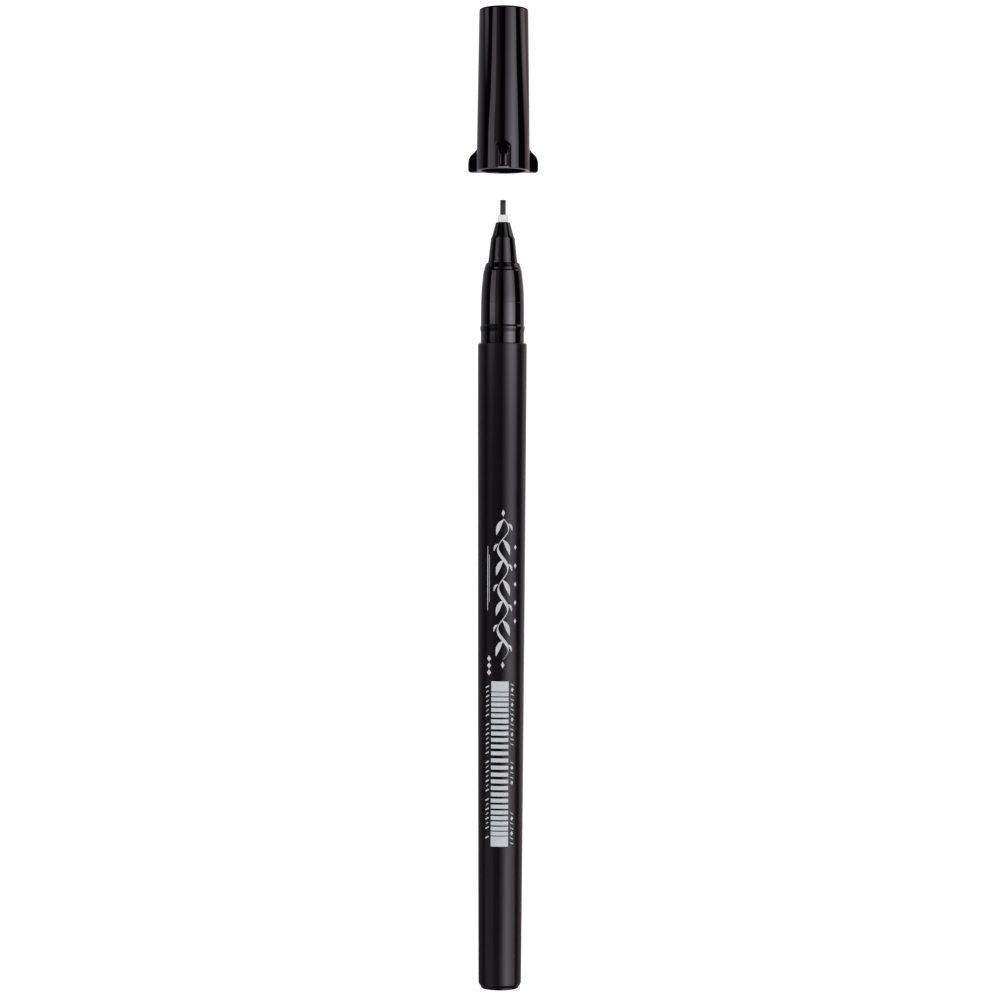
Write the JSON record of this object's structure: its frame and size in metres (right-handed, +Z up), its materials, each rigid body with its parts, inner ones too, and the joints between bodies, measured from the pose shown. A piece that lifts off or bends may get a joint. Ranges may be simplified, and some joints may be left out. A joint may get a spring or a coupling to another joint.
{
  "type": "calligraphy pen",
  "caption": "Slim black calligraphy pen with a flat chisel nib in a white sleeve, a matte tapered barrel and a pull-off cap with anti-roll fins, shown off the pen.",
  "frame": {"origin": "on the table, under the middle of the pen as laid out with its cap off: the centre of the bottom of the bounding box", "axes": "+X along the pen from its tail to its nib and then to the top of the cap, +Z up from the table, +Y to the left of +X"},
  "size_m": [0.1844, 0.0134, 0.0125],
  "materials": {
    "matte_black_plastic": "matte, slightly warm black",
    "gloss_black_plastic": "polished moulded black",
    "white_plastic": "satin white",
    "nib_black": "ink-stained hard fibre, satin",
    "ink_fibre": "ink-soaked fibre",
    "clear_film": "thin translucent film",
    "soft_seal_black": "soft satin black"
  },
  "bodies": {
    "pen": {"barrel": "matte_black_plastic", "tail_plug": "gloss_black_plastic", "front_section": "gloss_black_plastic", "tip_holder": "gloss_black_plastic", "nib_sleeve": "white_plastic", "nib": "nib_black", "ink_reservoir": "ink_fibre", "reservoir_film": "clear_film"},
    "cap": {"cap_shell": "gloss_black_plastic", "cap_inner_seal": "soft_seal_black"}
  },
  "joints": [
    {"name": "cap_slide", "type": "slide", "parent": "pen", "child": "cap", "axis": [1, 0, 0], "range_m": [-0.0325, 0]}
  ]
}
